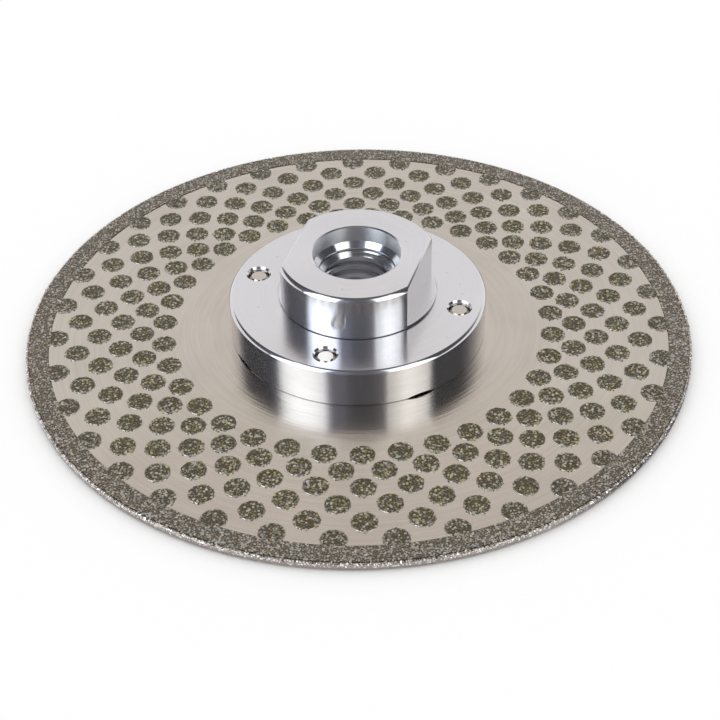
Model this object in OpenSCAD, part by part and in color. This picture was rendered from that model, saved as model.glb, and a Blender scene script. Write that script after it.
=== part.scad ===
// Diamond grinding wheel for an angle grinder.
// A thin steel blank carries plated diamond pads on both faces and a plated rim.
// Four countersunk screws hold the blank to a turned flange with a threaded hub.
// The wheel lies on its back coat at z = 0, with the spindle axis along +Z.

/* [Blank] */
// Diameter of the wheel over its edge coat
wheel_d = 125; // [110:0.5:180]
// Thickness of the bare steel blank
blank_t = 1.2; // [1:0.1:3]
// Bore of the blank, which the flange's spigot centres
arbor_d = 22.23; // [20:0.01:24]

/* [Diamond coat] */
// Thickness of the plated diamond coat
grit_t = 0.2; // [0.15:0.01:0.5]
// Width of the coated band on each face at the rim
rim_band_w = 4.2; // [2:0.1:8]
// Depth of the seam between the face coat and the edge coat
rim_seam = 0.1; // [0.05:0.01:0.14]
// Diameter of one diamond pad
pad_d = 4.45; // [3:0.05:6]
// Least gap between a pad and its neighbours
pad_gap = 0.85; // [0.5:0.05:3]
// Number of rings of pads on each face, the last of which grows out of the rim band
ring_count = 6; // [3:1:6]
// Distance from the rim band's inner edge to the centres of the outermost pads
scallop_inset = 1.25; // [0.5:0.05:2]
// Width of the bare face between the flange and the innermost ring of pads
bare_w = 10.6; // [4:0.1:14]

/* [Flange] */
// Diameter of the flange
flange_d = 48; // [44:0.5:60]
// Thickness of the flange
flange_t = 7.7; // [5:0.1:12]
// Chamfer on the flange's upper edge
flange_chamfer = 0.25; // [0.1:0.05:1]
// Relief on the flange's lower edge, above the blank
foot_relief = 0.15; // [0.1:0.05:1]
// Width of the gaps that are milled into the flange's foot, midway between the screws
foot_gap_w = 6; // [3:0.5:10]
// Height of a gap in the flange's foot
foot_gap_h = 0.35; // [0.2:0.05:1]
// How far a gap reaches in from the flange's side
foot_gap_depth = 3; // [1:0.5:6]
// Clearance between the spigot and the blank's bore, on radius
spigot_clear = 0.03; // [0.02:0.01:0.1]
// How far the spigot ends short of the blank's back face
spigot_recess = 0.1; // [0:0.05:0.4]

/* [Hub] */
// Diameter of the hub
hub_d = 29.5; // [27:0.1:34]
// Height of the hub above the flange
hub_h = 8.8; // [7:0.1:16]
// Height of the round collar that is left below the wrench flats
collar_h = 0.5; // [0.2:0.1:2]
// Distance across the two wrench flats
across_flats = 24; // [20:0.5:27]
// Chamfer on the hub's upper edges
hub_chamfer = 0.4; // [0.1:0.05:1]

/* [Spindle thread] */
// Nominal diameter of the spindle thread
thread_d = 14; // [10:0.5:16]
// Pitch of the spindle thread
thread_pitch = 2; // [1:0.25:2.5]
// Depth of the thread's groove on radius, below crests that are cut well back
thread_depth = 0.65; // [0.4:0.05:1]
// Angle at which the thread runs out into the cone under the counterbore
thread_run_out_a = 165; // [0:5:355]
// How far the counterbore stands back from the thread's nominal diameter, on radius
recess_step = 1.2; // [0.5:0.1:2]
// Depth of the counterbore below the hub's top
recess_depth = 3.2; // [1:0.1:6]
// Chamfer at the counterbore's mouth
mouth_chamfer = 0.2; // [0.1:0.05:0.8]

/* [Screws] */
// Number of flange screws
screw_count = 4; // [3:1:6]
// Shank diameter of a flange screw
screw_d = 3.9; // [3:0.1:5]
// Diameter of a screw's countersunk head
screw_head_d = 6.6; // [6:0.1:8]
// How far the screw circle lies outside the middle of the flange's ledge
screw_outset = 0.225; // [-1:0.025:1]
// Depth of a screw's end below the flange's top face
screw_end_recess = 0.45; // [0.2:0.05:2]
// Depth of a screw's head below the blank's back face
screw_head_recess = 0.05; // [0:0.01:0.2]
// Clearance around a screw's shank and head
screw_clear = 0.05; // [0.02:0.01:0.2]
// Chamfer at the mouth of a screw hole in the flange
screw_hole_chamfer = 0.4; // [0.1:0.05:0.8]
// Chamfer on a screw's end
screw_end_chamfer = 0.2; // [0.1:0.05:0.5]
// Width across the flats of a screw's hexagon socket
socket_af = 2.5; // [1.5:0.1:3]
// Depth of a screw's hexagon socket
socket_depth = 1.2; // [0.5:0.1:2]

/* [Hidden] */
$fn = 96;

// Bond line between the edge coat and the blank, so that the two curved faces don't rub
bond_gap = 0.02;
// Overshoot that carries a cut clear through a face
cut = 1;

// Heights, counted from the back coat
back_face_z = grit_t;
front_face_z = back_face_z + blank_t;
flange_top_z = front_face_z + flange_t;
flats_z = flange_top_z + collar_h;
hub_top_z = flange_top_z + hub_h;
spigot_z = back_face_z + spigot_recess;

// Radii of the blank and its coat
wheel_r = wheel_d / 2;
edge_r = wheel_r - grit_t;
blank_r = edge_r - bond_gap;
rim_inner_r = wheel_r - rim_band_w;

// Rings of pads, from the innermost one to the one that grows out of the rim band
outer_ring_r = rim_inner_r - scallop_inset;
inner_ring_r = flange_d / 2 + bare_w + pad_d / 2;
ring_pitch = (outer_ring_r - inner_ring_r) / (ring_count - 1);
free_rings = ring_count - 1;

// Pads in a ring: as many as stay clear of each other and of the staggered pads in the next ring
pad_room = pad_d + pad_gap;
next_ring_r = inner_ring_r + ring_pitch;
next_ring_cos = (pow(inner_ring_r, 2) + pow(next_ring_r, 2) - pow(pad_room, 2))
    / (2 * inner_ring_r * next_ring_r);
half_step_a = max(asin(pad_room / (2 * inner_ring_r)), acos(min(1, next_ring_cos)));
pads_per_ring = floor(180 / half_step_a);
pad_step_a = 360 / pads_per_ring;
function ring_r(ring) = inner_ring_r + (ring - 1) * ring_pitch;
function ring_start_a(ring) = (ring % 2 == 1) ? 0 : pad_step_a / 2;

// Flange, hub and spindle thread
flange_r = flange_d / 2;
hub_r = hub_d / 2;
spigot_r = arbor_d / 2 - spigot_clear;
thread_r = thread_d / 2;
flank_a = 30;
thread_minor_r = thread_r - thread_depth;
recess_r = thread_r + recess_step;
recess_floor_z = hub_top_z - recess_depth;
thread_top_z = recess_floor_z - (recess_r - thread_minor_r);
exit_chamfer = thread_depth;

// Groove of the thread, cut from just inside the bore out to the nominal diameter
groove_root_w = thread_pitch / 8;
groove_inside_r = thread_minor_r - thread_pitch / 8;
groove_inside_w = groove_root_w + 2 * tan(flank_a) * (thread_r - groove_inside_r);
groove_low_z = spigot_z - thread_pitch;
groove_high_z = recess_floor_z + thread_pitch;
groove_steps_per_turn = 24;
groove_steps = ceil(groove_steps_per_turn * (groove_high_z - groove_low_z) / thread_pitch);
groove_rise = thread_pitch / groove_steps_per_turn;
run_out_z = recess_floor_z - recess_step + groove_root_w / 2;
groove_start_a = thread_run_out_a - 360 * (run_out_z - groove_low_z) / thread_pitch;

// Gaps in the flange's foot, each the crown of a lying cylinder
foot_gap_r = pow(foot_gap_w, 2) / (8 * foot_gap_h) + foot_gap_h / 2;
foot_gap_z = front_face_z + foot_gap_h - foot_gap_r;

// Flange screws
screw_r = screw_d / 2;
screw_circle_r = (hub_r + flange_r) / 2 + screw_outset;
screw_head_z = back_face_z + screw_head_recess;
screw_shank_z = flange_top_z - screw_end_recess - screw_end_chamfer;
screw_head_h = (screw_head_d - screw_d) / 2;

COATED_FACES = ["front", "back"];
PAD_RINGS = [for (face = COATED_FACES) for (ring = [1:free_rings]) str(face, "_pad_ring_", ring)];

// Repeats what it is given on the screw circle
module on_screw_circle() {
    for (i = [0:screw_count - 1]) {
        rotate(i * 360 / screw_count) translate([screw_circle_r, 0, 0]) children();
    }
}

// Puts a coat on the front face, or turns it over onto the back face
module on_face(face) {
    if (face == "front") {
        translate([0, 0, front_face_z]) children();
    } else {
        translate([0, 0, back_face_z]) mirror([0, 0, 1]) children();
    }
}

// One ring of round pads, standing on the face
module pad_ring(ring) {
    for (i = [0:pads_per_ring - 1]) {
        rotate(ring_start_a(ring) + i * pad_step_a) translate([ring_r(ring), 0, 0])
            cylinder(h = grit_t, d = pad_d);
    }
}

// A screw's countersunk head, with room all round it
module screw_head(room) {
    translate([0, 0, screw_head_z])
        cylinder(h = screw_head_h, r1 = screw_head_d / 2 + room, r2 = screw_r + room);
}

// What is drilled and countersunk for the screws, through the blank and the flange
module screw_holes() {
    hole_r = screw_r + screw_clear;
    on_screw_circle() {
        translate([0, 0, screw_head_z - cut]) cylinder(h = cut, r = screw_head_d / 2 + screw_clear);
        screw_head(screw_clear);
        translate([0, 0, screw_head_z]) cylinder(h = flange_top_z + cut - screw_head_z, r = hole_r);
        translate([0, 0, flange_top_z - screw_hole_chamfer])
            cylinder(h = screw_hole_chamfer, r1 = hole_r, r2 = hole_r + screw_hole_chamfer);
    }
}

// Helical groove of the spindle thread, one closed band of four sides
module thread_groove() {
    section = [[thread_r, -groove_root_w / 2], [thread_r, groove_root_w / 2],
               [groove_inside_r, groove_inside_w / 2], [groove_inside_r, -groove_inside_w / 2]];
    sides = len(section);
    points = [for (i = [0:groove_steps]) for (p = section)
        let (a = groove_start_a + i * 360 / groove_steps_per_turn)
        [p[0] * cos(a), p[0] * sin(a), p[1] + groove_low_z + i * groove_rise]];
    last = groove_steps * sides;
    walls = [for (i = [0:groove_steps - 1]) for (k = [0:sides - 1])
        let (a = i * sides + k, b = i * sides + (k + 1) % sides)
        each [[a, b, b + sides], [a, b + sides, a + sides]]];
    ends = [[0, 2, 1], [0, 3, 2], [last, last + 1, last + 2], [last, last + 2, last + 3]];
    polyhedron(points = points, faces = concat(walls, ends));
}

module steel_blank() {
    color("#b9b2a9") difference() {
        translate([0, 0, back_face_z]) cylinder(h = blank_t, r = blank_r);
        translate([0, 0, back_face_z - cut]) cylinder(h = blank_t + 2 * cut, d = arbor_d);
        screw_holes();
    }
}

module edge_coat() {
    color("#8d8a85") rotate_extrude() polygon([
        [edge_r, back_face_z],
        [wheel_r - rim_seam, back_face_z],
        [wheel_r, back_face_z + rim_seam],
        [wheel_r, front_face_z - rim_seam],
        [wheel_r - rim_seam, front_face_z],
        [edge_r, front_face_z]]);
}

// Plain band at the rim, with the outermost ring of pads growing out of its inner edge
module rim_coat(face) {
    color("#77746c") on_face(face) {
        rotate_extrude() polygon([
            [rim_inner_r, 0],
            [wheel_r - rim_seam, 0],
            [wheel_r, rim_seam],
            [wheel_r, grit_t],
            [rim_inner_r, grit_t]]);
        pad_ring(ring_count);
    }
}

module face_pads(face, ring) {
    color("#66645a") on_face(face) pad_ring(ring);
}

// Turned body of the flange and hub, before milling and tapping
module flange_turning() {
    rotate_extrude() polygon([
        [0, spigot_z],
        [spigot_r, spigot_z],
        [spigot_r, front_face_z],
        [flange_r - foot_relief, front_face_z],
        [flange_r, front_face_z + foot_relief],
        [flange_r, flange_top_z - flange_chamfer],
        [flange_r - flange_chamfer, flange_top_z],
        [hub_r, flange_top_z],
        [hub_r, hub_top_z - hub_chamfer],
        [hub_r - hub_chamfer, hub_top_z],
        [0, hub_top_z]]);
}

// Bore for the spindle: mouth, counterbore, entry cone, thread's inner wall and exit chamfer
module spindle_bore() {
    rotate_extrude() polygon([
        [0, spigot_z - cut],
        [thread_minor_r + exit_chamfer + cut, spigot_z - cut],
        [thread_minor_r, spigot_z + exit_chamfer],
        [thread_minor_r, thread_top_z],
        [recess_r, recess_floor_z],
        [recess_r, hub_top_z - mouth_chamfer],
        [recess_r + mouth_chamfer + cut, hub_top_z + cut],
        [0, hub_top_z + cut]]);
}

// What the cutter takes off one side of the hub to leave a wrench flat with a chamfered top edge
module flat_cut() {
    reach = hub_r - across_flats / 2 + cut;
    rotate([90, 0, 0]) translate([across_flats / 2, 0, -hub_r]) linear_extrude(2 * hub_r) polygon([
        [0, flats_z],
        [reach, flats_z],
        [reach, hub_top_z + cut],
        [-hub_chamfer - cut, hub_top_z + cut],
        [0, hub_top_z - hub_chamfer]]);
}

// Shallow gaps in the flange's foot, midway between the screws
module foot_gaps() {
    for (i = [0:screw_count - 1]) {
        rotate((i + 0.5) * 360 / screw_count) translate([flange_r - foot_gap_depth, 0, foot_gap_z])
            rotate([0, 90, 0]) cylinder(h = foot_gap_depth + cut, r = foot_gap_r);
    }
}

module threaded_flange() {
    color("#c7cacd") difference() {
        flange_turning();
        spindle_bore();
        thread_groove();
        flat_cut();
        mirror([1, 0, 0]) flat_cut();
        screw_holes();
        foot_gaps();
    }
}

module flange_screws() {
    color("#a8a29a") on_screw_circle() difference() {
        union() {
            screw_head(0);
            translate([0, 0, screw_head_z]) cylinder(h = screw_shank_z - screw_head_z, r = screw_r);
            translate([0, 0, screw_shank_z])
                cylinder(h = screw_end_chamfer, r1 = screw_r, r2 = screw_r - screw_end_chamfer);
        }
        translate([0, 0, screw_head_z - cut])
            cylinder(h = cut + socket_depth, d = socket_af / cos(30), $fn = 6);
    }
}

steel_blank();
edge_coat();
rim_coat("front");  // front_rim_coat
rim_coat("back");  // back_rim_coat
threaded_flange();
flange_screws();
for (face = COATED_FACES) for (ring = [1:free_rings]) {
    face_pads(face, ring);
}
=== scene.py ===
# Diamond grinding wheel for an angle grinder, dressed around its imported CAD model.
from math import cos, pi, radians, sin, tan

import bmesh
import bpy
from mathutils import Matrix, Vector


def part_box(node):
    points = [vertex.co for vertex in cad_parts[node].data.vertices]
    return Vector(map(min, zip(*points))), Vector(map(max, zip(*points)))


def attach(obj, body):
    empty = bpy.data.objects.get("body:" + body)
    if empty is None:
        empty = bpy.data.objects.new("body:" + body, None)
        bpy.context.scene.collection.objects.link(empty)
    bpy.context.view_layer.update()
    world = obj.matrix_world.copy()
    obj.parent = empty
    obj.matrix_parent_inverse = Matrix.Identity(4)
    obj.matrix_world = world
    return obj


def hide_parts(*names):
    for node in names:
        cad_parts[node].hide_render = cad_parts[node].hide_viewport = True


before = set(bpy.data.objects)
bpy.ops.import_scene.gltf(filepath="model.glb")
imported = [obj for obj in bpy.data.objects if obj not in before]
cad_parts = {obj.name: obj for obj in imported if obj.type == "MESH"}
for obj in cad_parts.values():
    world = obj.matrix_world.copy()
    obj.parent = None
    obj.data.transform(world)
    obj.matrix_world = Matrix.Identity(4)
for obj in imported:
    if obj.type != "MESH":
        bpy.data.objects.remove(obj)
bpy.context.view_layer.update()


# Camera: a short telephoto lens in front of the wheel and a little to its right, which looks
# down on it at 39 degrees. All sizes in this file are in millimetres, times MM.
MM = 0.001
CAMERA_PLACE = (69.71, -220.36, 181.73)
CAMERA_AZIMUTH = -72.5
CAMERA_TURN = radians(90 + CAMERA_AZIMUTH)
CAMERA_TILT = radians(90 - 39.34)
CAMERA_ROLL = radians(-1.105)

camera_lens = bpy.data.cameras.new("camera")
camera_lens.lens = 77.08
camera_lens.sensor_width = 36
camera = bpy.data.objects.new("camera", camera_lens)
camera.matrix_world = (
    Matrix.Translation(Vector(CAMERA_PLACE) * MM)
    @ Matrix.Rotation(CAMERA_TURN, 4, "Z")
    @ Matrix.Rotation(CAMERA_TILT, 4, "X")
    @ Matrix.Rotation(CAMERA_ROLL, 4, "Z")
)
bpy.context.scene.collection.objects.link(camera)
bpy.context.scene.camera = camera


# Studio: white paper under a white dome. Dark walls, two softboxes, a dark ceiling and a dark cloth
# surround it, which only mirrors see: the bright turned sides show them as upright bands.
def linear(hex_code):
    """An sRGB hex colour as linear RGBA."""
    channels = [int(hex_code[i:i + 2], 16) / 255 for i in (1, 3, 5)]
    return tuple(c / 12.92 if c <= 0.04045 else ((c + 0.055) / 1.055) ** 2.4 for c in channels) + (1,)


def add_node(tree, kind, inputs=None, **settings):
    """One node with its settings; an input is a value, a socket to link, or a list of such sockets."""
    node = tree.nodes.new(kind)
    for name, value in settings.items():
        setattr(node, name, value)
    for key, value in (inputs or {}).items():
        if isinstance(value, (bpy.types.NodeSocket, list)):
            for source in value if isinstance(value, list) else [value]:
                tree.links.new(source, node.inputs[key])
        else:
            node.inputs[key].default_value = value
    return node


def new_material(name):
    """An empty material, and its tree of nodes."""
    material = bpy.data.materials.new(name)
    material.use_nodes = True
    material.node_tree.nodes.clear()
    return material, material.node_tree


def new_object(name, mesh):
    """A mesh as an object in the scene."""
    piece = bpy.data.objects.new(name, mesh)
    bpy.context.scene.collection.objects.link(piece)
    return piece


# The floor lies below the back face by as much as the grains of the back coat stand proud
FLOOR_R = 3000
FLOOR_DROP = 0.155
PANEL_STEP, PANEL_ROWS = 2, 8
WALL_DISTANCE, SOFTBOX_DISTANCE, CEILING_DISTANCE, BACK_DISTANCE = 1000, 950, 900, 1050
CLOTH_NEAR, CLOTH_FAR, CLOTH_LIFT = 62.8, 110, 0.01

# White paper: matt, and under the dome as white as the background
paper, tree = new_material("white_paper")
matt = add_node(tree, "ShaderNodeBsdfDiffuse", {"Color": linear("#ffffff")})
add_node(tree, "ShaderNodeOutputMaterial", {"Surface": matt.outputs[0]})

form = bmesh.new()
bmesh.ops.create_circle(form, cap_ends=True, segments=64, radius=FLOOR_R * MM,
                        matrix=Matrix.Translation((0, 0, -FLOOR_DROP * MM)))
floor_mesh = bpy.data.meshes.new("floor")
form.to_mesh(floor_mesh)
form.free()
floor_mesh.materials.append(paper)
floor = new_object("floor", floor_mesh)

world = bpy.data.worlds.new("white_dome")
world.use_nodes = True
dome = world.node_tree.nodes["Background"]
dome.inputs["Color"].default_value = (1, 1, 1, 1)
dome.inputs["Strength"].default_value = 1.0
bpy.context.scene.world = world
bpy.context.scene.view_settings.view_transform = "Standard"

# Softbox cloth: glows at the level that is stored on each panel's points, without lighting matt things
panel_light, tree = new_material("softbox_cloth")
level = add_node(tree, "ShaderNodeAttribute", attribute_name="light")
glow = add_node(tree, "ShaderNodeEmission", {"Color": level.outputs["Color"], "Strength": 1.0})
add_node(tree, "ShaderNodeOutputMaterial", {"Surface": glow.outputs[0]})
panel_light.cycles.emission_sampling = "NONE"


def light_panel(name, rows, place, levels):
    """A panel that only mirrors see; levels are (degrees to the right of the camera, light, tint).

    Its place function gives a point, in millimetres, from an azimuth and a share from 0 to 1.
    """
    stops = [(degrees, Vector(linear(tint)[:3]) * strength) for degrees, strength, tint in levels]
    columns = []
    for (start, first), (end, last) in zip(stops, stops[1:]):
        steps = max(1, round((end - start) / PANEL_STEP))
        for i in range(steps):
            columns.append((start + (end - start) * i / steps, first.lerp(last, i / steps)))
    columns.append(stops[-1])
    form = bmesh.new()
    light = form.verts.layers.float_color.new("light")
    grid = []
    for offset, colour in columns:
        grid.append([])
        for k in range(rows + 1):
            vert = form.verts.new(Vector(place(radians(CAMERA_AZIMUTH + offset), k / rows)) * MM)
            vert[light] = (*colour, 1)
            grid[-1].append(vert)
    for a, b in zip(grid, grid[1:]):
        for k in range(rows):
            form.faces.new((a[k], a[k + 1], b[k + 1], b[k]))
    mesh = bpy.data.meshes.new(name)
    form.to_mesh(mesh)
    form.free()
    mesh.materials.append(panel_light)
    panel = new_object(name, mesh)
    panel.visible_camera = False
    panel.visible_diffuse = False
    panel.visible_shadow = False


def studio_panel(name, distance, elevations, *levels):
    """A curved panel round the table, at a distance and between two elevations in degrees."""
    low, high = elevations

    def place(azimuth, share):
        elevation = radians(low + (high - low) * share)
        return (distance * cos(azimuth) * cos(elevation), distance * sin(azimuth) * cos(elevation),
                distance * sin(elevation))

    light_panel(name, PANEL_ROWS, place, levels)


def table_panel(name, near, far, *levels):
    """A flat panel on the table, between two radii round the wheel."""
    def place(azimuth, share):
        r = near + (far - near) * share
        return r * cos(azimuth), r * sin(azimuth), CLOTH_LIFT - FLOOR_DROP

    light_panel(name, 1, place, levels)


# The side walls stand open at table height, so that level faces stay bright when seen from the sides
studio_panel("left_wall", WALL_DISTANCE, (22, 72),
             (-150, 1.0, "#ffffff"), (-139, 1.0, "#ffffff"), (-134, 0.75, "#f8f9ff"), (-130, 0.28, "#e6eaff"),
             (-126, 0.1, "#dfe6ff"), (-112, 0.06, "#dfe6ff"), (-97, 0.08, "#dfe6ff"), (-85, 0.11, "#d8e2ff"),
             (-78, 0.25, "#d8e2ff"))
studio_panel("front_wall", WALL_DISTANCE, (2, 72),
             (-78, 0.25, "#d8e2ff"), (-22, 0.31, "#dfe6ff"), (-17, 0.33, "#dfe6ff"), (-13, 0.26, "#dfe6ff"),
             (-8, 0.17, "#e4e8ff"), (0, 0.13, "#e8eaff"), (9, 0.13, "#eceeff"), (14, 0.18, "#f0f0ff"),
             (20, 0.25, "#f4f4ff"), (23.5, 0.4, "#f8faff"), (66, 0.05, "#dfe6ff"))
studio_panel("right_wall", WALL_DISTANCE, (22, 72),
             (66, 0.05, "#dfe6ff"), (90, 0.06, "#dfe6ff"), (103, 0.06, "#e4e8ff"), (113, 0.13, "#eef0ff"),
             (122, 0.37, "#ffffff"), (132, 0.62, "#ffffff"), (142, 0.9, "#ffffff"), (149, 1.0, "#ffffff"))
studio_panel("left_softbox", SOFTBOX_DISTANCE, (2, 70),
             (-75.5, 2.2, "#ecf7ff"), (-72, 2.7, "#ecf7ff"), (-65, 3.35, "#ecf7ff"), (-55, 3.6, "#ecf7ff"),
             (-45, 3.3, "#ecf7ff"), (-37, 2.85, "#ecf7ff"), (-31, 2.3, "#e8f2ff"), (-28, 0.9, "#e4eeff"),
             (-25.5, 0.5, "#dfe6ff"), (-22, 0.31, "#dfe6ff"))
studio_panel("right_softbox", SOFTBOX_DISTANCE, (2, 70),
             (23.5, 0.4, "#f8faff"), (25, 1.45, "#f8ffff"), (28, 1.5, "#f8ffff"), (31, 1.7, "#f8ffff"),
             (36, 2.1, "#f8ffff"), (40.5, 2.4, "#f8ffff"), (45, 2.5, "#f8ffff"), (50, 2.4, "#f8ffff"),
             (55, 2.1, "#f8ffff"), (62, 2.0, "#f8ffff"), (66.5, 1.8, "#f8ffff"))
studio_panel("dark_ceiling", CEILING_DISTANCE, (60, 90), (-105, 0.09, "#ffffff"), (105, 0.09, "#ffffff"))
# To the right of the wheel lies a dark cloth, which dulls that side of its edge
table_panel("dark_cloth", CLOTH_NEAR, CLOTH_FAR, (28, 1.0, "#ffffff"), (46, 0.08, "#ffffff"),
            (112, 0.08, "#ffffff"), (130, 1.0, "#ffffff"))
# Behind the table the light falls off upwards, which darkens the near side of level faces
for low, high, light, tint in (
        (40, 43, 0.97, "#fffdfa"), (43, 46, 0.92, "#fffbf7"), (46, 60, 0.86, "#fff9f3")):
    studio_panel(f"back_wall_{low}", BACK_DISTANCE, (low, high), (120, light, tint), (240, light, tint))


# Steel blank: a thin round of spring steel, ground flat and nickel plated all over. Its CAD solid
# is right as it is. Fine grinding lines run round it, so reflections smear towards the centre.
# The real lines are a few hundredths of a millimetre apart, too fine to show, and are drawn coarser.
GRINDING_PITCH, GRINDING_DEPTH = 0.6, 0.03
LINE_ARCS = 2.5
CLOUD_SIZE = 14
NOISE_LOW, NOISE_HIGH = 0.3, 0.7
GLOSS_SPREAD = 0.12
PIT_SPACING, PIT_SHADE = 9, 0.5


def turned_metal(name, colour, shade, roughness, anisotropy, line_pitch, line_depth, pit_r=0, haze=0):
    """Bright metal with fine broken lines round the Z axis, and perhaps with pits on its level faces,
    which are painted darker as their shade, and a dull haze; returns the material.
    """
    material, tree = new_material(name)
    place = add_node(tree, "ShaderNodeTexCoord").outputs["Object"]
    flat = add_node(tree, "ShaderNodeVectorMath", {0: place, 1: (1, 1, 0)}, operation="MULTIPLY")
    radius = add_node(tree, "ShaderNodeVectorMath", {0: flat.outputs[0]}, operation="LENGTH")
    along = add_node(tree, "ShaderNodeSeparateXYZ", {0: place})
    # On an upright side the radius stays the same, so the height is added to it
    across = add_node(tree, "ShaderNodeMath", {0: radius.outputs["Value"], 1: along.outputs["Z"]},
                      operation="ADD")
    count = add_node(tree, "ShaderNodeMath", {0: across.outputs[0], 1: line_pitch * MM}, operation="DIVIDE")
    heading = add_node(tree, "ShaderNodeVectorMath", {0: flat.outputs[0]}, operation="NORMALIZE")
    around = add_node(tree, "ShaderNodeVectorMath", {0: heading.outputs[0], "Scale": LINE_ARCS},
                      operation="SCALE")
    step = add_node(tree, "ShaderNodeCombineXYZ", {"Z": count.outputs[0]})
    path = add_node(tree, "ShaderNodeVectorMath", {0: around.outputs[0], 1: step.outputs[0]},
                    operation="ADD")
    lines = add_node(tree, "ShaderNodeTexNoise",
                     {"Vector": path.outputs[0], "Scale": 1.0, "Detail": 3.0, "Roughness": 0.6})
    clouds = add_node(tree, "ShaderNodeTexNoise",
                      {"Vector": place, "Scale": 1 / (CLOUD_SIZE * MM), "Detail": 3.0})
    mix = add_node(tree, "ShaderNodeMath", {0: lines.outputs["Fac"], 1: clouds.outputs["Fac"]},
                   operation="ADD")
    half = add_node(tree, "ShaderNodeMath", {0: mix.outputs[0], 1: 0.5}, operation="MULTIPLY")
    tone = add_node(tree, "ShaderNodeMapRange",
                    {"Value": half.outputs[0], "From Min": NOISE_LOW, "From Max": NOISE_HIGH})
    hue = add_node(tree, "ShaderNodeMix",
                   {"Factor": tone.outputs[0], 6: linear(shade), 7: linear(colour)}, data_type="RGBA")
    # Pits: small spots painted darker, as the shade inside them
    pits = add_node(tree, "ShaderNodeTexVoronoi", {"Vector": place, "Scale": 1 / (PIT_SPACING * MM)},
                    voronoi_dimensions="2D")
    # A trace is added to the range, so that it isn't empty where there are no pits
    clean = add_node(tree, "ShaderNodeMapRange",
                     {"Value": pits.outputs["Distance"], "From Min": pit_r / PIT_SPACING / 2,
                      "From Max": pit_r / PIT_SPACING + 1e-6, "To Min": PIT_SHADE})
    pit_shaded = add_node(tree, "ShaderNodeMix",
                    {"Factor": 1.0, 6: hue.outputs[2], 7: clean.outputs[0]}, data_type="RGBA",
                    blend_type="MULTIPLY")
    gloss = add_node(tree, "ShaderNodeMapRange",
                     {"Value": half.outputs[0], "From Min": NOISE_LOW, "From Max": NOISE_HIGH,
                      "To Min": roughness * (1 + GLOSS_SPREAD), "To Max": roughness * (1 - GLOSS_SPREAD)})
    relief = add_node(tree, "ShaderNodeBump",
                      {"Height": lines.outputs["Fac"], "Strength": 1.0, "Distance": line_depth * MM})
    lathe = add_node(tree, "ShaderNodeTangent", direction_type="RADIAL", axis="Z")
    # A quarter turn from the lines' own direction, so that reflections smear across them
    metal = add_node(tree, "ShaderNodeBsdfPrincipled",
                     {"Base Color": pit_shaded.outputs[2], "Metallic": 1 - haze, "Roughness": gloss.outputs[0],
                      "Anisotropic": anisotropy, "Anisotropic Rotation": 0.25,
                      "Tangent": lathe.outputs[0], "Normal": relief.outputs[0]})
    add_node(tree, "ShaderNodeOutputMaterial", {"Surface": metal.outputs[0]})
    return material


# Nickel plate: a warm grey metal, satin from the grinding lines below it
nickel_plate = turned_metal("nickel_plate", "#c6beb5", "#b8b0a7", 0.15, 0.92, GRINDING_PITCH, GRINDING_DEPTH)
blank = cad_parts["steel_blank"]
blank.data.materials.clear()
blank.data.materials.append(nickel_plate)


# Diamond pads: on each face, five rings of round pads of diamond grit, held in nickel that was
# plated up between the grains. Each pad is an island, masked off before plating.
PAD_COUNT = 35
PAD_STEP = 2 * pi / PAD_COUNT
RING_R = (36.825, 40.87, 44.915, 48.96, 53.005)
RIM_RING_R = 57.05
PAD_R = 2.18
PAD_FOOT_R = 2.32
PAD_RAG_SIZE, PAD_RAG_W = 0.7, 0.22
PLATE_H = 0.11
PLATE_SINK = 0.02
PLATE_ROUGHNESS = 0.34
KNOB_SIZE, KNOB_DEPTH = 0.25, 0.05
GRAIN_SIZE, GRAIN_SPREAD = 0.46, 0.25
GRAIN_SPACING = 0.39
GRAIN_FLAT = 0.5
GRAIN_SINK = -0.03
GRAIN_LEAN = 0.28
GRAIN_CHIP = 0.03
GRAIN_DENSITY = 40e6
GRIT_ROUGHNESS, GRIT_IOR = 0.3, 1.7
STAIN_LEAST, STAIN_MOST = 0.1, 2.0

blank_low, blank_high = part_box("steel_blank")


def plated_nickel(name, hollow_shade, crown, knob_size=KNOB_SIZE):
    """Nickel that has grown dull and knobbly round grit, with painted shade darkening its hollows; returns the
    material.
    """
    material, tree = new_material(name)
    place = add_node(tree, "ShaderNodeTexCoord").outputs["Object"]
    knobs = add_node(tree, "ShaderNodeTexNoise",
                     {"Vector": place, "Scale": 1 / (knob_size * MM), "Detail": 2.0})
    # Where the knobs' noise is low, in the hollows, the colour is painted darker as shade
    hue = add_node(tree, "ShaderNodeMix",
                   {"Factor": knobs.outputs["Fac"], 6: linear(hollow_shade), 7: linear(crown)}, data_type="RGBA")
    relief = add_node(tree, "ShaderNodeBump",
                      {"Height": knobs.outputs["Fac"], "Strength": 1.0, "Distance": KNOB_DEPTH * MM})
    metal = add_node(tree, "ShaderNodeBsdfPrincipled",
                     {"Base Color": hue.outputs[2], "Metallic": 1.0, "Roughness": PLATE_ROUGHNESS,
                      "Normal": relief.outputs[0]})
    add_node(tree, "ShaderNodeOutputMaterial", {"Surface": metal.outputs[0]})
    return material


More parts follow.
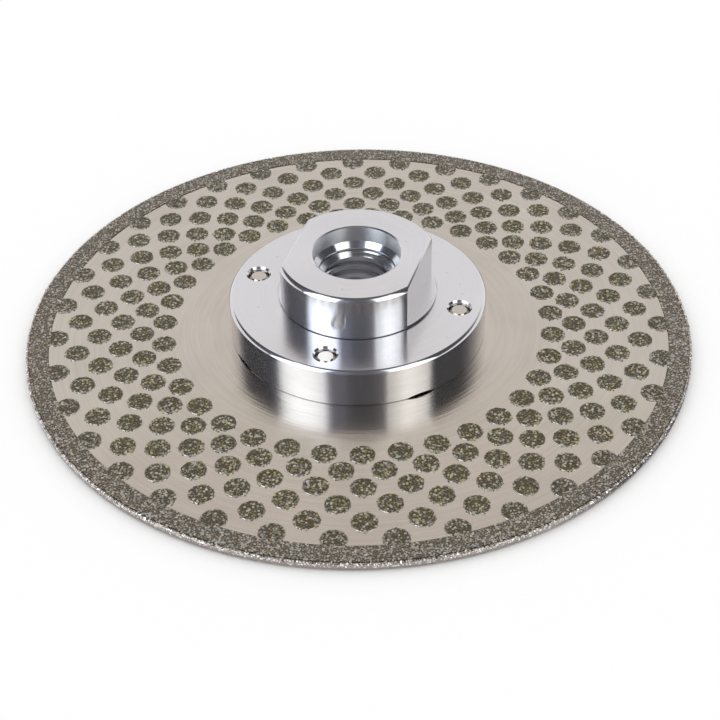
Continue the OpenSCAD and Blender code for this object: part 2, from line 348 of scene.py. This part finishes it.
def grit(name, *tones):
    """Grains of industrial diamond, each in a tone from the first colour to the last; returns the material."""
    material, tree = new_material(name)
    tone = add_node(tree, "ShaderNodeAttribute", attribute_name="tone")
    hue = add_node(tree, "ShaderNodeValToRGB", {"Fac": tone.outputs["Fac"]})
    ramp = hue.color_ramp
    ramp.elements[0].color = linear(tones[0])
    ramp.elements[1].color = linear(tones[-1])
    for i, colour in enumerate(tones[1:-1], 1):
        ramp.elements.new(i / (len(tones) - 1)).color = linear(colour)
    # No two grains share a tone, so noise by tone stains each grain from clear grey to yellow
    draw = add_node(tree, "ShaderNodeTexWhiteNoise", {"W": tone.outputs["Fac"]}, noise_dimensions="1D")
    stain = add_node(tree, "ShaderNodeMapRange",
                     {"Value": draw.outputs["Value"], "To Min": STAIN_LEAST, "To Max": STAIN_MOST})
    stained = add_node(tree, "ShaderNodeHueSaturation",
                       {"Color": hue.outputs["Color"], "Saturation": stain.outputs[0]})
    stone = add_node(tree, "ShaderNodeBsdfPrincipled",
                     {"Base Color": stained.outputs[0], "Roughness": GRIT_ROUGHNESS, "IOR": GRIT_IOR})
    add_node(tree, "ShaderNodeOutputMaterial", {"Surface": stone.outputs[0]})
    return material


# Pad nickel: olive, and painted dark between the grains as their shade, and bare where it runs out at the foot
# of a pad
shaded_pad_nickel = plated_nickel("shaded_pad_nickel", "#433c2b", "#686150")
foot_nickel = plated_nickel("foot_nickel", "#a39b92", "#c6beb5")

# Diamond grit: yellow-green industrial diamond, light grains between dark ones. It is rough and half
# sunk in nickel, so it shines less than clear diamond would.
diamond_grit = grit("diamond_grit", "#433d2b", "#59523d", "#716a55", "#8c846f", "#b5ad99")


def new_tree(name, *sockets):
    """A tree of geometry nodes with named inputs; returns the tree, its input node and its output node."""
    tree = bpy.data.node_groups.new(name, "GeometryNodeTree")
    tree.interface.new_socket("Geometry", in_out="OUTPUT", socket_type="NodeSocketGeometry")
    for socket, kind in sockets:
        tree.interface.new_socket(socket, in_out="INPUT", socket_type="NodeSocket" + kind)
    return tree, add_node(tree, "NodeGroupInput"), add_node(tree, "NodeGroupOutput")


def grown(name, tree, base=None, **values):
    """The mesh that a tree of geometry nodes makes, as a plain object."""
    piece = new_object(name, base or bpy.data.meshes.new(name))
    nodes = piece.modifiers.new("grown", "NODES")
    nodes.node_group = tree
    for item in tree.interface.items_tree:
        if item.in_out == "INPUT" and item.name in values:
            nodes[item.identifier] = values[item.name]
    evaluated = piece.evaluated_get(bpy.context.evaluated_depsgraph_get())
    mesh = bpy.data.meshes.new_from_object(evaluated, preserve_all_data_layers=True,
                                           depsgraph=bpy.context.evaluated_depsgraph_get())
    piece.modifiers.remove(nodes)
    piece.data = mesh
    mesh.name = name
    for i in reversed(range(len(mesh.materials))):
        if mesh.materials[i] is None:
            mesh.materials.pop(index=i)
    return piece


# Grit on plated nickel: grains are scattered on the faces marked "grit" and half sunk in them
grit_tree, given, made = new_tree("grit_on_nickel", ("Geometry", "Geometry"), ("Size", "Float"),
                                  ("Spacing", "Float"), ("Sink", "Float"), ("Plate", "Material"),
                                  ("Grit", "Material"), ("Fillet", "Material"), ("Seed", "Int"))
marked = add_node(grit_tree, "GeometryNodeInputNamedAttribute", {"Name": "grit"}, data_type="BOOLEAN")
coated = add_node(grit_tree, "GeometryNodeSeparateGeometry",
                  {"Geometry": given.outputs["Geometry"], "Selection": marked.outputs[0]}, domain="FACE")
scatter = add_node(grit_tree, "GeometryNodeDistributePointsOnFaces",
                   {"Mesh": coated.outputs["Selection"], "Distance Min": given.outputs["Spacing"],
                    "Density Max": GRAIN_DENSITY, "Seed": given.outputs["Seed"]}, distribute_method="POISSON")
depth = add_node(grit_tree, "ShaderNodeVectorMath",
                 {0: scatter.outputs["Normal"], "Scale": given.outputs["Sink"]}, operation="SCALE")
sunk = add_node(grit_tree, "GeometryNodeSetPosition",
                {"Geometry": scatter.outputs["Points"], "Offset": depth.outputs[0]})
# A grain is a block, a round lump or a pointed crystal, each about one unit wide
block = add_node(grit_tree, "GeometryNodeMeshCube", {"Size": (0.85, 0.75, 0.8)})
lump = add_node(grit_tree, "GeometryNodeMeshIcoSphere", {"Radius": 0.5, "Subdivisions": 1})
cage = add_node(grit_tree, "GeometryNodeMeshCube", {"Size": (1.3, 1.2, 1.1)})
point = add_node(grit_tree, "GeometryNodeDualMesh", {0: cage.outputs[0]})
sharp = add_node(grit_tree, "GeometryNodeSetShadeSmooth",
                 {"Geometry": block.outputs[0], "Shade Smooth": False})
round_off = add_node(grit_tree, "GeometryNodeSetShadeSmooth",
                     {"Geometry": lump.outputs[0], "Shade Smooth": True})
forms = add_node(grit_tree, "GeometryNodeGeometryToInstance",
                 {0: [sharp.outputs[0], round_off.outputs[0], point.outputs[0]]})
lean = add_node(grit_tree, "FunctionNodeRandomValue",
                {0: (-GRAIN_LEAN, -GRAIN_LEAN, 0), 1: (GRAIN_LEAN, GRAIN_LEAN, 2 * pi),
                 "Seed": given.outputs["Seed"]}, data_type="FLOAT_VECTOR")
twist = add_node(grit_tree, "FunctionNodeEulerToRotation", {0: lean.outputs[0]})
seated = add_node(grit_tree, "FunctionNodeRotateRotation",
                  {0: scatter.outputs["Rotation"], 1: twist.outputs[0]}, rotation_space="LOCAL")
share = add_node(grit_tree, "FunctionNodeRandomValue",
                 {2: 1 - GRAIN_SPREAD, 3: 1 + GRAIN_SPREAD, "Seed": given.outputs["Seed"]})
size = add_node(grit_tree, "ShaderNodeMath", {0: share.outputs[1], 1: given.outputs["Size"]},
                operation="MULTIPLY")
squat = add_node(grit_tree, "ShaderNodeVectorMath", {0: (1, 1, GRAIN_FLAT), "Scale": size.outputs[0]},
                 operation="SCALE")
grains = add_node(grit_tree, "GeometryNodeInstanceOnPoints",
                  {"Points": sunk.outputs[0], "Instance": forms.outputs[0], "Pick Instance": True,
                   "Rotation": seated.outputs[0], "Scale": squat.outputs[0]})
chance = add_node(grit_tree, "FunctionNodeRandomValue", {2: 0.0, 3: 1.0, "Seed": given.outputs["Seed"]})
toned = add_node(grit_tree, "GeometryNodeStoreNamedAttribute",
                 {"Geometry": grains.outputs[0], "Name": "tone", "Value": chance.outputs[1]},
                 data_type="FLOAT", domain="INSTANCE")
real = add_node(grit_tree, "GeometryNodeRealizeInstances", {0: toned.outputs[0]})
chip = add_node(grit_tree, "FunctionNodeRandomValue",
                {0: (-GRAIN_CHIP * MM,) * 3, 1: (GRAIN_CHIP * MM,) * 3, "Seed": given.outputs["Seed"]},
                data_type="FLOAT_VECTOR")
uneven = add_node(grit_tree, "GeometryNodeSetPosition",
                  {"Geometry": real.outputs[0], "Offset": chip.outputs[0]})
stones = add_node(grit_tree, "GeometryNodeSetMaterial",
                  {"Geometry": uneven.outputs[0], "Material": given.outputs["Grit"]})
fillet = add_node(grit_tree, "GeometryNodeSetMaterial",
                  {"Geometry": given.outputs["Geometry"], "Material": given.outputs["Fillet"]})
plate = add_node(grit_tree, "GeometryNodeSetMaterial",
                 {"Geometry": fillet.outputs[0], "Selection": marked.outputs[0],
                  "Material": given.outputs["Plate"]})
both = add_node(grit_tree, "GeometryNodeJoinGeometry", {0: [plate.outputs[0], stones.outputs[0]]})
grit_tree.links.new(both.outputs[0], made.inputs[0])

# Ring of plated pads: low mounds with a sloping edge, set round the wheel and covered in grit
ring_tree, given, made = new_tree("ring_of_pads", ("Ring radius", "Float"), ("First angle", "Float"),
                                  ("Plate", "Material"), ("Grit", "Material"), ("Seed", "Int"))
ring = add_node(ring_tree, "GeometryNodeMeshCircle",
                {"Vertices": PAD_COUNT, "Radius": given.outputs["Ring radius"]})
start = add_node(ring_tree, "ShaderNodeCombineXYZ", {"Z": given.outputs["First angle"]})
turned = add_node(ring_tree, "GeometryNodeTransform",
                  {"Geometry": ring.outputs[0], "Rotation": start.outputs[0]})
mound = add_node(ring_tree, "GeometryNodeMeshCone",
                 {"Vertices": 36, "Side Segments": 2, "Fill Segments": 3, "Radius Top": PAD_R * MM,
                  "Radius Bottom": PAD_FOOT_R * MM, "Depth": (PLATE_H + PLATE_SINK) * MM})
top_marked = add_node(ring_tree, "GeometryNodeStoreNamedAttribute",
                      {"Geometry": mound.outputs["Mesh"], "Name": "grit", "Value": mound.outputs["Top"]},
                      data_type="BOOLEAN", domain="FACE")
pads = add_node(ring_tree, "GeometryNodeInstanceOnPoints",
                {"Points": turned.outputs[0], "Instance": top_marked.outputs[0]})
placed = add_node(ring_tree, "GeometryNodeRealizeInstances", {0: pads.outputs[0]})
ragged = add_node(ring_tree, "ShaderNodeTexNoise", {"Scale": 1 / (PAD_RAG_SIZE * MM), "Detail": 2.0})
centred = add_node(ring_tree, "ShaderNodeVectorMath", {0: ragged.outputs["Color"], 1: (0.5, 0.5, 0.5)},
                   operation="SUBTRACT")
wander = add_node(ring_tree, "ShaderNodeVectorMath",
                  {0: centred.outputs[0], 1: (PAD_RAG_W * MM, PAD_RAG_W * MM, 0)}, operation="MULTIPLY")
frayed = add_node(ring_tree, "GeometryNodeSetPosition",
                  {"Geometry": placed.outputs[0], "Offset": wander.outputs[0]})
gritted = add_node(ring_tree, "GeometryNodeGroup",
                   {"Geometry": frayed.outputs[0], "Size": GRAIN_SIZE * MM, "Spacing": GRAIN_SPACING * MM,
                    "Sink": GRAIN_SINK * MM, "Plate": given.outputs["Plate"], "Grit": given.outputs["Grit"],
                    "Fillet": foot_nickel, "Seed": given.outputs["Seed"]}, node_tree=grit_tree)
ring_tree.links.new(gritted.outputs[0], made.inputs[0])


def on_face(piece, face):
    """Puts a coat that was made round z = 0 on the blank's front face, or turns it over onto the back."""
    if face == "front":
        piece.data.transform(Matrix.Translation((0, 0, blank_high.z - PLATE_SINK * MM)))
    else:
        piece.data.transform(Matrix.Translation((0, 0, blank_low.z + PLATE_SINK * MM))
                             @ Matrix.Rotation(pi, 4, "X"))


for face, face_seed in (("front", 100), ("back", 200)):
    for number, ring_r in enumerate(RING_R, 1):
        pad_ring = grown(f"{face}_pads_{number}", ring_tree,
                         **{"Ring radius": ring_r * MM, "First angle": (number - 1) % 2 * PAD_STEP / 2,
                            "Plate": shaded_pad_nickel, "Grit": diamond_grit, "Seed": face_seed + number})
        on_face(pad_ring, face)
        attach(pad_ring, "root")
        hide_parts(f"{face}_pad_ring_{number}")


# Rim coats: a plain band of grit round the edge of each face, with a last ring of pads growing
# out of its inner edge, and a narrow coat on the wheel's edge. A seam stays open between them.
RIM_IN_R, RIM_OUT_R = 58.3, 61.9
SEAM_W = 0.16
RIM_SEGMENTS = 240
SEAM_FLOOR, RIM_SLOPE_W = 0.05, 0.2
RIM_GRAIN_SIZE, RIM_GRAIN_SPACING = 0.42, 0.33
RIM_PAD_LIFT = 0.03
EDGE_GRAIN_SIZE, EDGE_GRAIN_SPACING, EDGE_GRAIN_SINK = 0.42, 0.3, -0.07
EDGE_KNOB_SIZE = 0.5
# The bead of plate on the edge: radius, and height from the blank's front face or its back face
EDGE_FRONT = ((62.08, -0.1), (62.08, 0.06), (62.2, 0.1), (62.34, 0.06), (62.42, -0.06), (62.45, -0.3),
              (62.45, -0.6))
EDGE_BACK = ((62.44, 0.2), (62.36, 0), (62.2, -0.08), (62.08, -0.06), (62.08, 0.1))


def lathe(form, profile, segments, centre=(0, 0, 0)):
    """Turns a profile of radius and height, in millimetres, round an upright axis; returns its strips of faces.

    The profile is closed, unless both its ends lie on the axis.
    """
    rings = []
    for i in range(segments):
        a = 2 * pi * i / segments
        rings.append([form.verts.new((Vector((r * cos(a), r * sin(a), z)) + Vector(centre)) * MM)
                      for r, z in profile])
    ends_on_axis = profile[0][0] == profile[-1][0] == 0
    strips = [[] for _ in range(len(profile) - ends_on_axis)]
    for a, b in zip(rings, rings[1:] + rings[:1]):
        for k, strip in enumerate(strips):
            n = (k + 1) % len(profile)
            strip.append(form.faces.new((a[k], b[k], b[n], a[n])))
    return strips


def closed_mesh(form, name):
    """A bmesh as a mesh with no doubles and its faces outwards."""
    bmesh.ops.remove_doubles(form, verts=form.verts, dist=1e-7)
    bmesh.ops.recalc_face_normals(form, faces=form.faces)
    mesh = bpy.data.meshes.new(name)
    form.to_mesh(mesh)
    form.free()
    return mesh


def plated_band(name, profile, gritted):
    """A turned band of plated nickel; gritted numbers the strips of its faces that carry grit."""
    form = bmesh.new()
    marks = form.faces.layers.bool.new("grit")
    strips = lathe(form, profile, RIM_SEGMENTS)
    for k in gritted:
        for face in strips[k]:
            face[marks] = True
    return closed_mesh(form, name)


# Rim nickel and rim grit: as on the pads, but greyer, since more nickel has grown over the grains; the rim
# nickel is painted dark between the grains as their shade. The rim's own ring of pads lies between the two.
shaded_rim_nickel = plated_nickel("shaded_rim_nickel", "#50493f", "#6f685d")
rim_grit = grit("rim_grit", "#655d54", "#776f65", "#888076", "#989086", "#b0a89e")
rim_pad_grit = grit("rim_pad_grit", "#474136", "#5c554a", "#746d61", "#8b8478", "#afa79b")

rim_tree, given, made = new_tree("rim_with_pads", ("Geometry", "Geometry"), ("Seed", "Int"))
band = add_node(rim_tree, "GeometryNodeGroup",
                {"Geometry": given.outputs["Geometry"], "Size": RIM_GRAIN_SIZE * MM,
                 "Spacing": RIM_GRAIN_SPACING * MM, "Sink": GRAIN_SINK * MM, "Plate": shaded_rim_nickel,
                 "Grit": rim_grit, "Fillet": shaded_pad_nickel, "Seed": given.outputs["Seed"]},
                node_tree=grit_tree)
pads = add_node(rim_tree, "GeometryNodeGroup",
                {"Ring radius": RIM_RING_R * MM, "First angle": PAD_STEP / 2, "Plate": shaded_pad_nickel,
                 "Grit": rim_pad_grit, "Seed": given.outputs["Seed"]}, node_tree=ring_tree)
lifted = add_node(rim_tree, "GeometryNodeTransform",
                  {"Geometry": pads.outputs[0], "Translation": (0, 0, RIM_PAD_LIFT * MM)})
both = add_node(rim_tree, "GeometryNodeJoinGeometry", {0: [band.outputs[0], lifted.outputs[0]]})
rim_tree.links.new(both.outputs[0], made.inputs[0])

plate_top = PLATE_H + PLATE_SINK
for face, face_seed in (("front", 301), ("back", 401)):
    base = plated_band(f"{face}_rim", [
        (RIM_IN_R - RIM_SLOPE_W / 2, 0), (RIM_OUT_R + SEAM_W, 0), (RIM_OUT_R + SEAM_W, SEAM_FLOOR),
        (RIM_OUT_R, SEAM_FLOOR), (RIM_OUT_R, plate_top), (RIM_IN_R + RIM_SLOPE_W / 2, plate_top)], [4])
    rim = grown(f"{face}_rim", rim_tree, base, Seed=face_seed)
    on_face(rim, face)
    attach(rim, "root")
    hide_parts(f"{face}_rim_coat")

# Edge nickel: on the narrow edge the plate closes over the grains, silvery grey and dull below
edge_nickel = plated_nickel("edge_nickel", "#938a84", "#b3aaa4", EDGE_KNOB_SIZE)

# Nickel knobs: grains under bright plate at the top of the edge, which sparkle
nickel_knobs, tree = new_material("nickel_knobs")
metal = add_node(tree, "ShaderNodeBsdfPrincipled",
                 {"Base Color": linear("#e6e0db"), "Metallic": 1.0, "Roughness": 0.12})
add_node(tree, "ShaderNodeOutputMaterial", {"Surface": metal.outputs[0]})

base = plated_band("edge_grit", [
    *[(r, blank_high.z / MM + h) for r, h in EDGE_FRONT],
    *[(r, blank_low.z / MM + h) for r, h in EDGE_BACK]], [2, 3, 4, 5])
edge = grown("edge_grit", grit_tree, base, Size=EDGE_GRAIN_SIZE * MM, Spacing=EDGE_GRAIN_SPACING * MM,
             Sink=EDGE_GRAIN_SINK * MM, Plate=edge_nickel, Grit=nickel_knobs, Fillet=edge_nickel, Seed=501)
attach(edge, "root")
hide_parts("edge_coat")


# Threaded flange: turned from aluminium bar with its hub and spigot in one piece. The bore is
# counterbored and tapped, two wrench flats are milled, and four screw holes are drilled.
SEGMENTS = 360
SMOOTH_ANGLE = 25
OVERCUT = 1
FLANGE_R, FLANGE_TOP, FLANGE_EDGE = 24, 9.1, 0.6
FOOT_Z, FOOT_EDGE = 1.4, 0.15
HUB_R, HUB_TOP, HUB_EDGE = 14.75, 17.9, 0.75
EDGE_LOW, EDGE_HIGH, EDGE_STEPS = radians(29.5), radians(64), 6
SPIGOT_R, SPIGOT_Z = 11.085, 0.3
UNDERCUT_W, UNDERCUT_H = 0.22, 0.4
MOUTH_R, MOUTH_EDGE_W, MOUTH_EDGE_H, MOUTH_FLOOR = 8.2, 0.3, 0.17, 14.7
RELIEF_R, RELIEF_TOP, RELIEF_LOW, RELIEF_DEPTH, RELIEF_CORNER = 7.2, 13.75, 13.1, 0.4, 0.05
CREST_R, ROOT_R, PITCH, LEAD_SLOPE = 6.35, 7.0, 2.0, 0.9
GROOVE_TURN, GROOVE_Z, GROOVE_RUN_OUT = radians(107.5), 13.0, 0.3
THREAD_STEPS = 96
FLAT_X, FLATS_Z, FLAT_EDGE = 12, 9.6, 0.25
SCREW_COUNT, SCREW_CIRCLE_R, SCREW_SEGMENTS = 4, 19.6, 48
SCREW_HOLE_R, SCREW_HOLE_EDGE, SCREW_HOLE_FOOT = 2.0, 0.34, 0.25
GAP_W, GAP_H, GAP_DEPTH, GAP_SEGMENTS = 6.3, 0.5, 3, 180


def smooth_curves(mesh, angle):
    """Smooth shading, but for edges that turn more than an angle in degrees."""
    mesh.shade_smooth()
    mesh.set_sharp_from_angle(angle=radians(angle))


def broken_edge(r, z, width):
    """Points over an upper edge that is broken by a bulging chamfer, from radius r up to height z."""
    turns = [EDGE_LOW + (EDGE_HIGH - EDGE_LOW) * i / EDGE_STEPS for i in range(EDGE_STEPS + 1)]
    bulge_r = width / (cos(EDGE_LOW) - cos(EDGE_HIGH))
    return [(r - bulge_r * (cos(EDGE_LOW) - cos(t)), z - bulge_r * (sin(EDGE_HIGH) - sin(t))) for t in turns]


def cut_out(piece, cutters):
    """Takes the form of the cutters out of a piece."""
    cut = piece.modifiers.new("cut", "BOOLEAN")
    cut.operation, cut.solver, cut.object = "DIFFERENCE", "EXACT", cutters
    evaluated = piece.evaluated_get(bpy.context.evaluated_depsgraph_get())
    mesh = bpy.data.meshes.new_from_object(evaluated)
    piece.modifiers.remove(cut)
    piece.data = mesh
    bpy.data.objects.remove(cutters)


form = bmesh.new()
lathe(form, [
    (ROOT_R, SPIGOT_Z), (SPIGOT_R, SPIGOT_Z), (SPIGOT_R, FOOT_Z), (FLANGE_R - FOOT_EDGE, FOOT_Z),
    (FLANGE_R, FOOT_Z + FOOT_EDGE), *broken_edge(FLANGE_R, FLANGE_TOP, FLANGE_EDGE),
    (HUB_R + UNDERCUT_W, FLANGE_TOP), (HUB_R + UNDERCUT_W, FLANGE_TOP - UNDERCUT_H),
    (HUB_R, FLANGE_TOP - UNDERCUT_H), *broken_edge(HUB_R, HUB_TOP, HUB_EDGE),
    (MOUTH_R + MOUTH_EDGE_W, HUB_TOP), (MOUTH_R, HUB_TOP - MOUTH_EDGE_H), (MOUTH_R, MOUTH_FLOOR),
    (RELIEF_R + RELIEF_CORNER, RELIEF_TOP), (RELIEF_R + RELIEF_DEPTH, RELIEF_TOP - RELIEF_CORNER),
    (RELIEF_R + RELIEF_DEPTH, RELIEF_LOW + 2 * RELIEF_CORNER), (RELIEF_R, RELIEF_LOW),
    (CREST_R, RELIEF_LOW - (RELIEF_R - CREST_R) * LEAD_SLOPE),
    (CREST_R, SPIGOT_Z + ROOT_R - CREST_R)], SEGMENTS)
flange = new_object("threaded_flange_turned", closed_mesh(form, "threaded_flange_turned"))

# What the tap, the drill and the cutters take out of the turning
form = bmesh.new()
for i in range(SCREW_COUNT):
    a = 2 * pi * i / SCREW_COUNT
    lathe(form, [
        (0, FOOT_Z - OVERCUT), (SCREW_HOLE_R + SCREW_HOLE_FOOT + OVERCUT, FOOT_Z - OVERCUT),
        (SCREW_HOLE_R, FOOT_Z + SCREW_HOLE_FOOT), (SCREW_HOLE_R, FLANGE_TOP - SCREW_HOLE_EDGE),
        (SCREW_HOLE_R + SCREW_HOLE_EDGE + OVERCUT, FLANGE_TOP + OVERCUT), (0, FLANGE_TOP + OVERCUT)],
        SCREW_SEGMENTS, (SCREW_CIRCLE_R * cos(a), SCREW_CIRCLE_R * sin(a), 0))
    # Gap in the foot, midway to the next screw: the crown of a lying cylinder
    gap_r = GAP_W ** 2 / (8 * GAP_H) + GAP_H / 2
    gap_x = FLANGE_R - GAP_DEPTH / 2 + OVERCUT / 2
    gap_turn = (Matrix.Rotation(a + pi / SCREW_COUNT, 4, "Z")
                @ Matrix.Translation((gap_x * MM, 0, (FOOT_Z + GAP_H - gap_r) * MM))
                @ Matrix.Rotation(pi / 2, 4, "Y"))
    bmesh.ops.create_cone(form, cap_ends=True, segments=GAP_SEGMENTS, radius1=gap_r * MM,
                          radius2=gap_r * MM, depth=(GAP_DEPTH + OVERCUT) * MM, matrix=gap_turn)
for side in (1, -1):
    section = [(FLAT_X, FLATS_Z), (HUB_R + OVERCUT, FLATS_Z), (HUB_R + OVERCUT, HUB_TOP + OVERCUT),
               (FLAT_X - FLAT_EDGE - OVERCUT, HUB_TOP + OVERCUT), (FLAT_X, HUB_TOP - FLAT_EDGE)]
    ends = [[form.verts.new(Vector((side * x, y, z)) * MM) for x, z in section] for y in (-HUB_R, HUB_R)]
    form.faces.new(ends[0])
    form.faces.new(ends[1][::-1])
    for k in range(len(section)):
        n = (k + 1) % len(section)
        form.faces.new((ends[0][k], ends[1][k], ends[1][n], ends[0][n]))
# Groove of the thread: a 60 degree form with a flat root, swept up a helix until it runs out in the relief
root_w = PITCH / 8
inside_r = CREST_R - PITCH / 8
inside_w = root_w + 2 * tan(radians(30)) * (ROOT_R - inside_r)
thread_low, thread_high = SPIGOT_Z - PITCH, GROOVE_Z + GROOVE_RUN_OUT
turns = (thread_high - thread_low) / PITCH
start_a = GROOVE_TURN - 2 * pi * (GROOVE_Z - thread_low) / PITCH
sections = []
for i in range(round(turns * THREAD_STEPS) + 1):
    a = start_a + 2 * pi * i / THREAD_STEPS
    z = thread_low + PITCH * i / THREAD_STEPS
    corners = [(ROOT_R, -root_w / 2), (ROOT_R, root_w / 2), (inside_r, inside_w / 2), (inside_r, -inside_w / 2)]
    sections.append([form.verts.new(Vector((r * cos(a), r * sin(a), z + h)) * MM) for r, h in corners])
for a, b in zip(sections, sections[1:]):
    for k in range(len(a)):
        n = (k + 1) % len(a)
        form.faces.new((a[k], a[n], b[n], b[k]))
form.faces.new(sections[0])
form.faces.new(sections[-1][::-1])
cutters = new_object("cutters", closed_mesh(form, "cutters"))

cut_out(flange, cutters)
flange_mesh = flange.data
smooth_curves(flange_mesh, SMOOTH_ANGLE)

# Turned aluminium: a bright flange side and a hub side cut a little coarser, duller faces with a few pits,
# a bore in which the boring bar's lines smear reflections upwards, and a plain tapped thread. The tool's
# lines are too fine to show, so they are drawn coarser.
TURNING_PITCH, BORING_PITCH = 0.25, 0.3
bright_aluminium = turned_metal("bright_turned_aluminium", "#dddbde", "#d5d3d6", 0.115, 0.8,
                                TURNING_PITCH, 0.0002, haze=0.05)
faced_aluminium = turned_metal("faced_aluminium", "#d7d5d8", "#d1cfd2", 0.17, 0.88,
                               TURNING_PITCH, 0.0003, pit_r=0.14)
hub_aluminium = turned_metal("hub_turned_aluminium", "#dddbde", "#d5d3d6", 0.15, 0.95,
                             TURNING_PITCH, 0.0002, haze=0.05)
bored_aluminium = turned_metal("bored_aluminium", "#e6e5e8", "#dad9dc", 0.4, 0.95,
                               BORING_PITCH, 0.0004, haze=0.02)
tapped_aluminium = turned_metal("tapped_aluminium", "#e8e7ea", "#d8d7da", 0.17, 0.5,
                                BORING_PITCH, 0.0008, haze=0.03)

# Milled aluminium: satin wrench flats, pale, with faint marks along the cutter's way
MILL_MARK_W, MILL_MARK_STRETCH, MILL_MARK_DEPTH = 0.3, 0.15, 0.002
milled_aluminium, tree = new_material("milled_aluminium")
place = add_node(tree, "ShaderNodeTexCoord").outputs["Object"]
streaks = add_node(tree, "ShaderNodeMapping", {"Vector": place, "Scale": (1, MILL_MARK_STRETCH, 1)})
marks = add_node(tree, "ShaderNodeTexNoise",
                 {"Vector": streaks.outputs[0], "Scale": 1 / (MILL_MARK_W * MM), "Detail": 3.0})
hue = add_node(tree, "ShaderNodeMix",
               {"Factor": marks.outputs["Fac"], 6: linear("#e4e2e3"), 7: linear("#f2f0f1")}, data_type="RGBA")
relief = add_node(tree, "ShaderNodeBump",
                  {"Height": marks.outputs["Fac"], "Strength": 1.0, "Distance": MILL_MARK_DEPTH * MM})
metal = add_node(tree, "ShaderNodeBsdfPrincipled",
                 {"Base Color": hue.outputs[2], "Metallic": 1.0, "Roughness": 0.26,
                  "Normal": relief.outputs[0]})
add_node(tree, "ShaderNodeOutputMaterial", {"Surface": metal.outputs[0]})

# Each face gets its finish by where it lies and which way it looks
SIDE, FACED, MILLED, BORED, TAPPED, HUB_SIDE = range(6)
NEAR, TOUCHING = 0.01, 0.001
LEVEL, UPRIGHT = 0.99, 0.9999
flange_mesh.materials.clear()
for material in (bright_aluminium, faced_aluminium, milled_aluminium, bored_aluminium, tapped_aluminium,
                 hub_aluminium):
    flange_mesh.materials.append(material)
for face in flange_mesh.polygons:
    r, z = face.center.xy.length / MM, face.center.z / MM
    in_bore = r < MOUTH_R + NEAR
    if in_bore and MOUTH_FLOOR < z < HUB_TOP - MOUTH_EDGE_H:
        face.material_index = BORED
    elif in_bore and SPIGOT_Z + TOUCHING < z < RELIEF_TOP:
        face.material_index = TAPPED
    elif abs(face.normal.z) > LEVEL:
        face.material_index = FACED
    elif abs(face.normal.x) > UPRIGHT and abs(abs(face.center.x) / MM - FLAT_X) < NEAR:
        face.material_index = MILLED
    elif FLANGE_TOP < z < HUB_TOP - HUB_EDGE and r > MOUTH_R + NEAR:
        face.material_index = HUB_SIDE
    else:
        face.material_index = SIDE
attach(flange, "root")
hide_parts("threaded_flange")


# Flange screws: four plated steel countersunk screws with hexagon sockets, driven from the back.
# Their cut-off ends show in the holes of the flange, just below its top.
SCREW_R, SCREW_END_Z, SCREW_END_EDGE = 1.9, 8.65, 0.52
HEAD_R, HEAD_Z, HEAD_EDGE = 3.3, 0.25, 0.1
SOCKET_W, SOCKET_DEPTH = 2.5, 1.2
SOCKET_R = SOCKET_W / 2 / cos(pi / 6)
SCREW_LINE_PITCH = 0.2

# Screw steel: nickel plate over a plainly cut end, warm grey like the blank; its lines are drawn coarser too
screw_plate = turned_metal("screw_nickel_plate", "#c8c0b7", "#beb6ad", 0.2, 0.0, SCREW_LINE_PITCH, 0.0004)

form = bmesh.new()
lathe(form, [(0, SCREW_END_Z), (SCREW_R - SCREW_END_EDGE, SCREW_END_Z), (SCREW_R, SCREW_END_Z - SCREW_END_EDGE),
             (SCREW_R, HEAD_Z + HEAD_EDGE + HEAD_R - SCREW_R), (HEAD_R, HEAD_Z + HEAD_EDGE),
             (HEAD_R - HEAD_EDGE, HEAD_Z), (0, HEAD_Z)], SCREW_SEGMENTS)
one_screw = new_object("one_screw", closed_mesh(form, "one_screw"))
form = bmesh.new()
bmesh.ops.create_cone(form, cap_ends=True, segments=6, radius1=SOCKET_R * MM, radius2=SOCKET_R * MM,
                      depth=2 * SOCKET_DEPTH * MM, matrix=Matrix.Translation((0, 0, HEAD_Z * MM)))
cut_out(one_screw, new_object("socket_cutter", closed_mesh(form, "socket_cutter")))
smooth_curves(one_screw.data, SMOOTH_ANGLE)

screw_tree, given, made = new_tree("screws_on_a_circle", ("Screw", "Object"), ("Circle radius", "Float"),
                                   ("Count", "Int"))
circle = add_node(screw_tree, "GeometryNodeMeshCircle",
                  {"Vertices": given.outputs["Count"], "Radius": given.outputs["Circle radius"]})
screw = add_node(screw_tree, "GeometryNodeObjectInfo", {"Object": given.outputs["Screw"]})
set_out = add_node(screw_tree, "GeometryNodeInstanceOnPoints",
                   {"Points": circle.outputs[0], "Instance": screw.outputs["Geometry"]})
real = add_node(screw_tree, "GeometryNodeRealizeInstances", {0: set_out.outputs[0]})
plated = add_node(screw_tree, "GeometryNodeSetMaterial",
                  {"Geometry": real.outputs[0], "Material": screw_plate})
screw_tree.links.new(plated.outputs[0], made.inputs[0])
screws = grown("flange_screws_plated", screw_tree, Screw=one_screw, Count=SCREW_COUNT,
               **{"Circle radius": SCREW_CIRCLE_R * MM})
bpy.data.objects.remove(one_screw)
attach(screws, "root")
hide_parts("flange_screws")
